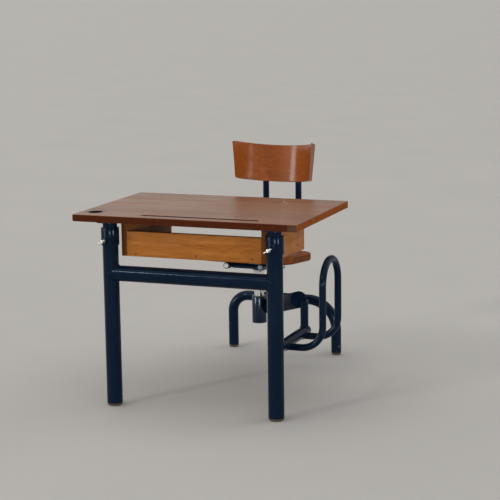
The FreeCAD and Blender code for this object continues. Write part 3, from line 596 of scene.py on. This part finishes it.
def top_wood():
    made = Finish("top_wood", IOR=1.5)
    strips = 5.0
    patch_start, patch_full = 0.034, 0.026
    spill_reach, spill_core, spill_wobble = 0.030, 0.009, 0.022
    groove_start, groove_full = 0.0006, 0.003
    drops_reach, drops_full = 0.13, 0.05
    pore_depth = 0.0003
    strip_width = (top_high.y - top_low.y) / strips
    brown, darker, redder = (0.228, 0.089, 0.032, 1), (0.112, 0.040, 0.015, 1), (0.270, 0.100, 0.032, 1)
    edge_brown, end_orange, ink, bleached = ((0.043, 0.008, 0.0022, 1), (0.240, 0.062, 0.010, 1),
                                             (0.010, 0.010, 0.016, 1), (0.20, 0.11, 0.065, 1))
    weathered, painted_underside_shade = (0.085, 0.048, 0.030, 1), (0.075, 0.022, 0.007, 1)
    x, y, z = made.parts(made.place)
    from_front = made.sum("SUBTRACT", y, top_low.y)
    strips_in = made.sum("DIVIDE", from_front, strip_width)
    strip = made.sum("FLOOR", strips_in)
    own = made.add("TexWhiteNoise", noise_dimensions="1D")
    made.feed(own.inputs["W"], strip)
    shift = made.add("CombineXYZ", made.both(strip, 3.7), made.both(strip, 1.3), 0.0).outputs[0]
    board = made.add("VectorMath", made.place, shift, operation="ADD").outputs[0]
    sway = made.noise(made.stretched((1.6, 5.0, 5.0), board), 1.0, 3.0, 0.5)
    rings = made.sum("SINE", made.sum("MULTIPLY_ADD", sway, 60.0, made.both(y, 130.0)))
    streaks = made.noise(made.stretched((5.0, 95.0, 95.0), board), 1.0, 4.0, 0.6)
    pores = made.noise(made.stretched((26.0, 900.0, 900.0), board), 1.0, 2.0, 0.5)
    colour = made.blend(made.fade(streaks, 0.3, 0.7), darker, brown)
    colour = made.blend(made.both(made.fade(rings, -0.2, 1.0), 0.35), colour, redder)
    colour = made.blend(made.both(own.outputs[0], 0.35), colour, redder)
    colour = made.blend(made.both(made.fade(pores, 0.58, 0.72), 0.55), colour, darker)
    seam = made.sum("ABSOLUTE", made.sum("SUBTRACT", made.sum("FRACT", strips_in), 0.5))
    seam = made.fade(seam, 0.493, 0.4985)
    colour = made.blend(made.both(seam, 0.6), colour, darker)
    facing = made.parts(made.normal)
    # Painted shade: faces that look down are darkened towards a deep brown, standing in for the shade under
    # the board.
    colour = made.blend(made.fade(facing[2], -0.5, -0.9, 0.0, 0.75), colour, painted_underside_shade)
    on_long_edge = made.fade(made.sum("ABSOLUTE", facing[1]), 0.55, 0.85)
    on_end = made.fade(made.sum("ABSOLUTE", facing[0]), 0.55, 0.85)
    fleck = made.noise(made.stretched((30.0, 260.0, 90.0)), 1.0, 3.0)
    colour = made.blend(on_long_edge, colour, made.blend(made.both(fleck, 0.3), edge_brown, darker))
    colour = made.blend(on_end, colour, made.blend(made.fade(fleck, 0.4, 0.7), end_orange, darker))
    patch = made.both(made.fade(x, top_high.x - patch_start, top_high.x - patch_full), on_long_edge)
    colour = made.blend(made.both(patch, made.fade(fleck, 0.2, 0.6, 0.35, 0.8)), colour, weathered)
    to_well = made.add("VectorMath", made.place, tuple(inkwell), operation="DISTANCE").outputs["Value"]
    wobble = made.sum("MULTIPLY_ADD", made.noise(made.place, 45.0, 4.0), spill_wobble, to_well)
    spilt = made.fade(wobble, inkwell_radius + spill_reach, inkwell_radius + spill_core)
    in_groove = made.both(made.fade(z, top_high.z - groove_start, top_high.z - groove_full),
                          made.fade(facing[2], 0.2, 0.5))
    drops = made.both(made.fade(made.noise(made.place, 70.0, 3.0), 0.70, 0.73),
                      made.fade(from_front, drops_reach, drops_full))
    stained = made.sum("MAXIMUM", made.both(in_groove, 0.55), made.both(drops, 0.5))
    stained = made.sum("MAXIMUM", made.both(spilt, 0.85), stained)
    colour = made.blend(stained, colour, ink)
    slanted = made.add("VectorRotate", made.place, None, None, 0.5).outputs[0]
    scored = made.noise(made.stretched((8.0, 420.0, 1.0), slanted), 1.0, 2.0)
    scored = made.both(made.fade(scored, 0.70, 0.73), made.fade(made.noise(made.place, 6.0), 0.45, 0.6))
    colour = made.blend(made.both(scored, 0.25), colour, bleached)
    gloss = made.fade(made.noise(made.stretched((3.0, 16.0, 16.0)), 1.0, 4.0, 0.6), 0.3, 0.75, 0.27, 0.37)
    rubbed_edge = made.both(made.sum("MAXIMUM", on_long_edge, on_end), 0.50)
    dulled = made.both(made.sum("MAXIMUM", scored, patch), 0.2)
    gloss = made.sum("ADD", gloss, made.sum("MAXIMUM", rubbed_edge, dulled))
    made.feed(made.shader.inputs["Specular IOR Level"], made.fade(facing[2], 0.3, 0.8, 0.04, 0.3))
    height = made.sum("SUBTRACT", made.both(pores, -0.35), made.sum("MAXIMUM", seam, scored))
    return made.show(colour, gloss, made.relief(height, pore_depth, 0.45))


dress(top_wood(), "desk_top")


# Book tray: sawn boards of a lighter wood under a golden varnish, nailed together, the bottom let into
# grooves. The front is low, so that books can be seen over it. Each board's arrises are sanded off.

def tray_wood(name, along):
    """Varnished wood whose grain runs along one axis, darker on end grain, with painted shade darkening the
    tray's inner walls.
    """
    made = Finish(name, IOR=1.5, Specular_IOR_Level=0.08)
    shade_start, shade_full, pore_depth = -0.02, -0.15, 0.0002
    honey, amber, brown = (0.395, 0.148, 0.030, 1), (0.310, 0.102, 0.016, 1), (0.080, 0.024, 0.006, 1)
    coarse = tuple(4.0 if axis == along else 46.0 for axis in "xyz")
    fine = tuple(24.0 if axis == along else 800.0 for axis in "xyz")
    warp = tuple(1.5 if axis == along else 6.0 for axis in "xyz")
    sway = made.noise(made.stretched(warp), 1.0, 2.0)
    grain = made.noise(made.stretched(coarse), 1.0, 4.0, 0.55, 0.4)
    rings = made.sum("SINE", made.sum("MULTIPLY", sway, 95.0))
    pores = made.noise(made.stretched(fine), 1.0, 2.0)
    colour = made.blend(made.fade(grain, 0.3, 0.7), amber, honey)
    colour = made.blend(made.both(made.fade(rings, 0.1, 1.0), 0.14), colour, brown)
    colour = made.blend(made.both(made.fade(pores, 0.56, 0.7), 0.5), colour, brown)
    handling_and_painted_shade = made.fade(made.noise(made.place, 8.0, 4.0), 0.52, 0.72)
    colour = made.blend(made.both(handling_and_painted_shade, 0.22), colour, brown)
    facing = made.parts(made.normal)
    # Painted shade: faces that look into the tray are darkened towards brown, standing in for the shade
    # inside it.
    inner_wall_painted_shade = made.both(made.parts(made.place)[0], facing[0])
    colour = made.blend(made.fade(inner_wall_painted_shade, shade_start, shade_full, 0.0, 0.6), colour, brown)
    on_end = made.fade(made.sum("ABSOLUTE", facing["xyz".index(along)]), 0.6, 0.9)
    colour = made.blend(made.both(on_end, 0.9), colour, brown)
    gloss = made.fade(made.noise(made.place, 14.0, 3.0), 0.3, 0.7, 0.36, 0.52)
    return made.show(colour, gloss, made.relief(made.both(pores, -1.0), pore_depth, 0.4))


tray_sanded = 0.0012
tray_grains = {axis: tray_wood("tray_wood_" + axis, axis) for axis in "xy"}
for node, along in (("tray_front", "x"), ("tray_bottom", "x"), ("left_tray_side", "y"),
                    ("right_tray_side", "y"), ("tray_cleats", "y")):
    sanded = eased(welded_mesh(node), tray_sanded)
    piece(node + "_sanded", sanded, "table", tray_grains[along], (node,))


# Nails: round iron wire nails hold the tray's bottom and front. Only their flattened heads show, brown with
# rust, three along the front's lower edge and three on each side, driven a little unevenly.

def rusty_iron():
    made = Finish("rusty_iron", IOR=1.6)
    pit_depth = 0.0001
    black, rust = (0.016, 0.011, 0.009, 1), (0.070, 0.028, 0.012, 1)
    colour = made.blend(made.noise(made.place, 400.0, 4.0), black, rust)
    dull = made.fade(made.noise(made.place, 600.0, 2.0), 0.3, 0.7, 0.5, 0.75)
    return made.show(colour, dull, made.relief(made.noise(made.place, 1500.0, 2.0), pit_depth, 0.5))


nail_radius, nail_height, nail_sunk, nail_steps = 0.0032, 0.0007, 0.0004, 20
nail_profile = ((0, -nail_sunk), (nail_radius, -nail_sunk), (nail_radius, nail_height * 0.5),
                (nail_radius * 0.85, nail_height), (0, nail_height * 1.2))
# heights over the tray's lower edge, for the nails into the bottom and those into the front's ends
bottom_rise, front_rise, uneven = 0.011, 0.040, 0.002
end_inset, middle_inset = 0.030, 0.235
first_inset, second_inset, last_inset = 0.009, 0.120, 0.060
front_low, front_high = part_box("tray_front")
nails = bmesh.new()
for x in (front_low.x + end_inset, front_low.x + middle_inset, front_high.x - end_inset):
    height = front_low.z + bottom_rise + dice.uniform(-uneven, uneven)
    turned(nails, nail_profile, Vector((x, front_low.y, height)), -Y, nail_steps)
for side, outward in (("left", -X), ("right", X)):
    low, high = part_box(side + "_tray_side")
    face = low.x if side == "left" else high.x
    for y, rise in ((low.y + first_inset, front_rise), (low.y + second_inset, bottom_rise),
                    (high.y - last_inset, bottom_rise)):
        height = front_low.z + rise + dice.uniform(-uneven, uneven)
        turned(nails, nail_profile, Vector((face, y, height)), outward, nail_steps)
bmesh.ops.recalc_face_normals(nails, faces=nails.faces)
piece("tray_nails", nails, "table", rusty_iron())


# Seat: a thick board glued up from four staves of beech, its grain from front to back, hollowed on top,
# rounded all round and screwed to the tubes from below. The varnish is a dull red-brown, rubbed paler in the
# hollow.

def seat_wood():
    made = Finish("seat_wood", IOR=1.5, Specular_IOR_Level=0.04)
    russet, figure = (0.225, 0.066, 0.017, 1), (0.150, 0.041, 0.011, 1)
    dark, rubbed = (0.060, 0.017, 0.006, 1), (0.300, 0.125, 0.048, 1)
    low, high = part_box("seat_panel")
    staves = 4.0
    stave_width = (high.x - low.x) / staves
    hollow_reach, hollow_fringe, hollow_core, hollow_wobble = 0.125, 0.03, 0.04, 0.06
    pore_depth = 0.00025
    x = made.parts(made.place)[0]
    from_left = made.sum("DIVIDE", made.sum("SUBTRACT", x, low.x), stave_width)
    stave = made.sum("FLOOR", from_left)
    own = made.add("TexWhiteNoise", noise_dimensions="1D")
    made.feed(own.inputs["W"], stave)
    shift = made.add("CombineXYZ", 0.0, made.both(stave, 2.3), made.both(stave, 0.9)).outputs[0]
    board = made.add("VectorMath", made.place, shift, operation="ADD").outputs[0]
    sway = made.noise(made.stretched((14.0, 2.4, 14.0), board), 1.0, 3.0)
    rings = made.sum("SINE", made.sum("MULTIPLY", sway, 70.0))
    streaks = made.noise(made.stretched((110.0, 6.0, 110.0), board), 1.0, 4.0, 0.6)
    pores = made.noise(made.stretched((900.0, 40.0, 900.0), board), 1.0, 2.0)
    colour = made.blend(made.fade(streaks, 0.3, 0.7), figure, russet)
    colour = made.blend(made.both(made.fade(rings, 0.0, 1.0), 0.4), colour, figure)
    colour = made.blend(made.both(own.outputs[0], 0.4), colour, figure)
    colour = made.blend(made.both(made.fade(pores, 0.57, 0.7), 0.5), colour, dark)
    off = made.add("VectorMath", made.place, tuple((low + high) / 2), operation="SUBTRACT").outputs[0]
    level = made.stretched((1.0, 1.0, 0.0), off)
    to_middle = made.add("VectorMath", level, operation="LENGTH").outputs["Value"]
    wear = made.sum("MULTIPLY_ADD", made.noise(made.place, 14.0, 4.0), hollow_wobble, to_middle)
    facing = made.parts(made.normal)
    worn = made.fade(wear, hollow_reach + hollow_fringe, hollow_reach - hollow_core)
    worn = made.both(worn, made.fade(facing[2], 0.7, 0.95))
    colour = made.blend(made.both(worn, 0.45), colour, rubbed)
    on_end = made.fade(made.sum("ABSOLUTE", facing[1]), 0.6, 0.9)
    colour = made.blend(made.both(on_end, 0.45), colour, dark)
    seam = made.sum("ABSOLUTE", made.sum("SUBTRACT", made.sum("FRACT", from_left), 0.5))
    seam = made.fade(seam, 0.490, 0.498)
    colour = made.blend(made.both(seam, 0.5), colour, dark)
    gloss = made.fade(made.noise(made.place, 16.0, 4.0, 0.6), 0.3, 0.75, 0.44, 0.60)
    gloss = made.sum("ADD", gloss, made.both(worn, 0.12))
    height = made.sum("SUBTRACT", made.both(pores, -0.5), seam)
    return made.show(colour, gloss, made.relief(height, pore_depth, 0.4))


dress(seat_wood(), "seat_panel")


# Backrest: a strip of beech plywood, bent in a heated mould, sawn to shape, sanded round and varnished a
# glossy orange-brown, with painted shade darkening it towards the right end. Its sawn edges show the plies as
# stripes. Four screws hold it to the uprights.

def faces_on(node, wanted):
    """Corner points of the faces whose normals pass a test, as an array."""
    mesh = nodes[node].data
    picked = {v for polygon in mesh.polygons if wanted(polygon.normal) for v in polygon.vertices}
    return np.array([mesh.vertices[v].co for v in sorted(picked)])


def centre_of(points):
    """Centre and radius of the circle that points lie on."""
    table = np.hstack([2 * points, np.ones((len(points), 1))])
    found = np.linalg.lstsq(table, (points ** 2).sum(axis=1), rcond=None)[0]
    centre = found[:-1]
    return centre, math.sqrt(found[-1] + centre @ centre)


def plywood(centre, along, face_radius):
    """Veneer on the faces, stripes on the edges. Depth is measured from the axis of the bend."""
    made = Finish("back_ply", IOR=1.5, Specular_IOR_Level=0.35)
    veneer, figure, dark = (0.300, 0.080, 0.015, 1), (0.220, 0.056, 0.010, 1), (0.070, 0.019, 0.007, 1)
    pale_ply, deep_ply = (0.330, 0.130, 0.042, 1), (0.048, 0.014, 0.005, 1)
    ply, pore_depth = 0.0015, 0.00025
    off = made.add("VectorMath", made.place, tuple(centre), operation="SUBTRACT").outputs[0]
    run = made.add("VectorMath", off, tuple(along), operation="DOT_PRODUCT").outputs["Value"]
    inline = made.add("VectorMath", tuple(along), operation="SCALE")
    made.feed(inline.inputs["Scale"], run)
    off = made.add("VectorMath", off, inline.outputs[0], operation="SUBTRACT").outputs[0]
    depth = made.add("VectorMath", off, operation="LENGTH").outputs["Value"]
    outward = made.add("VectorMath", off, operation="NORMALIZE").outputs[0]
    facing = made.add("VectorMath", outward, made.normal, operation="DOT_PRODUCT").outputs["Value"]
    on_edge = made.fade(made.sum("ABSOLUTE", facing), 0.80, 0.55)
    layer = made.sum("FRACT", made.sum("DIVIDE", made.sum("SUBTRACT", depth, face_radius), 2 * ply))
    stripe = made.both(made.fade(layer, 0.04, 0.10), made.fade(layer, 0.56, 0.50))
    sway = made.noise(made.stretched((2.2, 9.0, 9.0)), 1.0, 3.0)
    rings = made.sum("SINE", made.sum("MULTIPLY", sway, 80.0))
    streaks = made.noise(made.stretched((6.0, 130.0, 130.0)), 1.0, 4.0, 0.6)
    pores = made.noise(made.stretched((55.0, 1100.0, 1100.0)), 1.0, 2.0)
    colour = made.blend(made.fade(streaks, 0.28, 0.72), figure, veneer)
    colour = made.blend(made.both(made.fade(rings, 0.0, 1.0), 0.4), colour, figure)
    colour = made.blend(made.both(made.fade(pores, 0.57, 0.7), 0.55), colour, dark)
    clouds = made.fade(made.noise(made.place, 9.0, 4.0), 0.52, 0.75)
    colour = made.blend(made.both(clouds, 0.35), colour, dark)
    low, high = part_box("backrest")
    # Painted shade: the colour darkens towards the right end, standing in for the shade that falls there.
    handling_and_painted_shade = made.fade(made.parts(made.place)[0], (low.x + high.x) / 2, high.x, 0.0, 0.4)
    colour = made.blend(handling_and_painted_shade, colour, dark)
    colour = made.blend(on_edge, colour, made.blend(stripe, deep_ply, pale_ply))
    gloss = made.fade(made.noise(made.place, 16.0, 4.0, 0.6), 0.3, 0.75, 0.12, 0.20)
    height = made.sum("SUBTRACT", made.both(pores, -0.5), made.both(made.both(on_edge, stripe), 0.5))
    return made.show(colour, gloss, made.relief(height, pore_depth, 0.4))


back_rake = math.radians(13)
back_up = Vector((0, math.sin(back_rake), math.cos(back_rake)))
back_deep = Vector((0, math.cos(back_rake), -math.sin(back_rake)))
level_share, forward_share = 0.02, 0.3


def in_hollow(normal):
    """Whether a face lies in the hollow that the sitter leans on."""
    return abs(normal.dot(back_up)) < level_share and normal.dot(back_deep) < -forward_share


hollow = faces_on("backrest", in_hollow)
flat_hollow = np.stack([hollow @ np.array(X), hollow @ np.array(back_deep)], axis=1)
bend_centre, bend_radius = centre_of(flat_hollow)
bend_axis = X * bend_centre[0] + back_deep * bend_centre[1]
dress(plywood(bend_axis, back_up, bend_radius), "backrest")


# Tube plugs: two moulded ivory plugs, pushed into the front ends of the seat tubes. They are domed, with a
# fine rim that took the frame's enamel when it was touched up, and the right one is tinted a darker blue in
# patches.

spigot = 0.014


def ivory_plastic(mouths):
    """Yellowed plastic for plugs that sit in the tubes' mouths."""
    made = Finish("ivory_plastic", IOR=1.49)
    pit_depth = 0.0001
    ivory, yellowed, grime = (0.80, 0.79, 0.75, 1), (0.70, 0.67, 0.59, 1), (0.30, 0.28, 0.25, 1)
    right_plug_blue, rim_blue = (0.150, 0.250, 0.390, 1), (0.006, 0.010, 0.017, 1)
    rim_start, rim_full = 0.0074, 0.0082
    colour = made.blend(made.noise(made.place, 70.0, 3.0), ivory, yellowed)
    grimy = made.fade(made.noise(made.place, 180.0, 4.0), 0.55, 0.75)
    colour = made.blend(made.both(grimy, 0.5), colour, grime)
    split = (mouths[0].x + mouths[1].x) / 2
    # The right plug is tinted a darker blue in patches.
    on_right = made.fade(made.parts(made.place)[0], split, split + spigot)
    blue_patches = made.fade(made.noise(made.place, 260.0, 3.0), 0.30, 0.55, 0.55, 1.0)
    colour = made.blend(made.both(on_right, blue_patches), colour, right_plug_blue)
    out = None
    for mouth in mouths:
        off = made.add("VectorMath", made.place, tuple(mouth), operation="SUBTRACT").outputs[0]
        square = made.stretched((1.0, 0.0, 1.0), off)
        aside = made.add("VectorMath", square, operation="LENGTH").outputs["Value"]
        out = aside if out is None else made.sum("MINIMUM", out, aside)
    colour = made.blend(made.fade(out, rim_start, rim_full), colour, rim_blue)
    dull = made.fade(made.noise(made.place, 120.0, 2.0), 0.3, 0.7, 0.35, 0.55)
    return made.show(colour, dull, made.relief(made.noise(made.place, 900.0, 2.0), pit_depth, 0.4))


plugs = bmesh.new()
plug_profile = ((0, 0.0), (0.0085, 0.0), (0.0090, spigot), (0.0109, 0.0141), (0.0110, 0.0152),
                (0.0106, 0.0163), (0.0094, 0.0172), (0.0070, 0.0180), (0.0040, 0.0184), (0, 0.0186))
plug_steps, mouth_reach = 40, 0.004
mouths = []
for side in ("left", "right"):
    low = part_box(side + "_seat_tube")[0]
    ends = [v.co for v in nodes[side + "_seat_tube"].data.vertices if v.co.y < low.y + mouth_reach]
    mouth = sum((Vector(c) for c in ends), Vector()) / len(ends)
    mouths.append(mouth)
    turned(plugs, plug_profile, mouth + seat_fall * spigot, -seat_fall, plug_steps)
bmesh.ops.recalc_face_normals(plugs, faces=plugs.faces)
piece("seat_tube_plugs_moulded", plugs, "seat", ivory_plastic(mouths), ("seat_tube_plugs",))


# Room: a plain pale floor out to the horizon, pale walls that are brightest on the left, a wide soft light
# above, lower ones as of tall screens (three round the camera, one at the far left, one behind the seat) and
# a small lamp. The camera stands where the photograph was taken from.

floor_mesh = bmesh.new()
floor_reach, floor_rough, floor_depth = 400.0, 0.75, 0.0004
bmesh.ops.create_grid(floor_mesh, x_segments=1, y_segments=1, size=floor_reach)
floor_finish = Finish("pale_floor", Specular_IOR_Level=0.2)
floor_tone, floor_shade = (0.47, 0.455, 0.435, 1), (0.43, 0.418, 0.40, 1)
floor_colour = floor_finish.blend(floor_finish.noise(floor_finish.place, 1.5, 4.0), floor_tone, floor_shade)
floor_relief = floor_finish.relief(floor_finish.noise(floor_finish.place, 90.0), floor_depth, 0.3)
floor_finish.show(floor_colour, floor_rough, floor_relief)
floor_data = bpy.data.meshes.new("floor")
floor_mesh.to_mesh(floor_data)
floor_mesh.free()
floor_data.materials.append(floor_finish.material)
floor = bpy.data.objects.new("floor", floor_data)
bpy.context.scene.collection.objects.link(floor)

world = bpy.data.worlds.new("room")
bpy.context.scene.world = world
world.use_nodes = True
sky = world.node_tree
brightest, wall_tint = (-1.0, 0.0, 0.0), (1.0, 0.985, 0.96, 1)
towards = sky.nodes.new("ShaderNodeVectorMath")
towards.operation = "DOT_PRODUCT"
towards.inputs[1].default_value = brightest
sky.links.new(sky.nodes.new("ShaderNodeTexCoord").outputs["Generated"], towards.inputs[0])
wall = sky.nodes.new("ShaderNodeMapRange")
for socket, value in (("From Min", 0.18), ("From Max", 0.60), ("To Min", 0.32), ("To Max", 0.90)):
    wall.inputs[socket].default_value = value
sky.links.new(towards.outputs["Value"], wall.inputs["Value"])
sky.links.new(wall.outputs[0], sky.nodes["Background"].inputs["Strength"])
sky.nodes["Background"].inputs["Color"].default_value = wall_tint


def broad_light(name, towards, strength, spread):
    """An even light from far off, as wide as the angle it fills."""
    lamp = bpy.data.lights.new(name, "SUN")
    lamp.energy = strength
    lamp.angle = math.radians(spread)
    made = bpy.data.objects.new(name, lamp)
    made.rotation_euler = Vector(towards).to_track_quat("Z", "Y").to_euler()
    bpy.context.scene.collection.objects.link(made)


broad_light("overhead_light", (0.05, -0.15, 1.0), 1.1, 70)
broad_light("left_light", (-0.64, -0.77, 0.045), 0.5, 5)
broad_light("middle_light", (0.36, -0.93, 0.045), 0.7, 5)
broad_light("right_light", (0.91, -0.41, 0.045), 0.7, 5)
broad_light("far_left_light", (-0.830, -0.550, 0.165), 0.35, 16)
broad_light("back_light", (0.80, 0.60, 0.40), 0.6, 40)
broad_light("small_lamp", (-0.45, -0.75, 0.50), 0.4, 5)

eye = bpy.data.cameras.new("camera")
photo_width, focal_pixels, film_width = 500, 1526.8126, 36
eye.sensor_fit = "HORIZONTAL"
eye.sensor_width = film_width
eye.lens = focal_pixels * film_width / photo_width
camera = bpy.data.objects.new("camera", eye)
bpy.context.scene.collection.objects.link(camera)
stand, yaw, pitch, roll = (1.81395, -4.62990, 1.35180), 0.3693, 0.1799, 0.0134
camera.matrix_world = (Matrix.Translation(stand) @ Matrix.Rotation(yaw, 4, "Z")
                       @ Matrix.Rotation(math.pi / 2 - pitch, 4, "X") @ Matrix.Rotation(-roll, 4, "Z"))
bpy.context.scene.camera = camera
bpy.context.scene.view_settings.view_transform = "Standard"
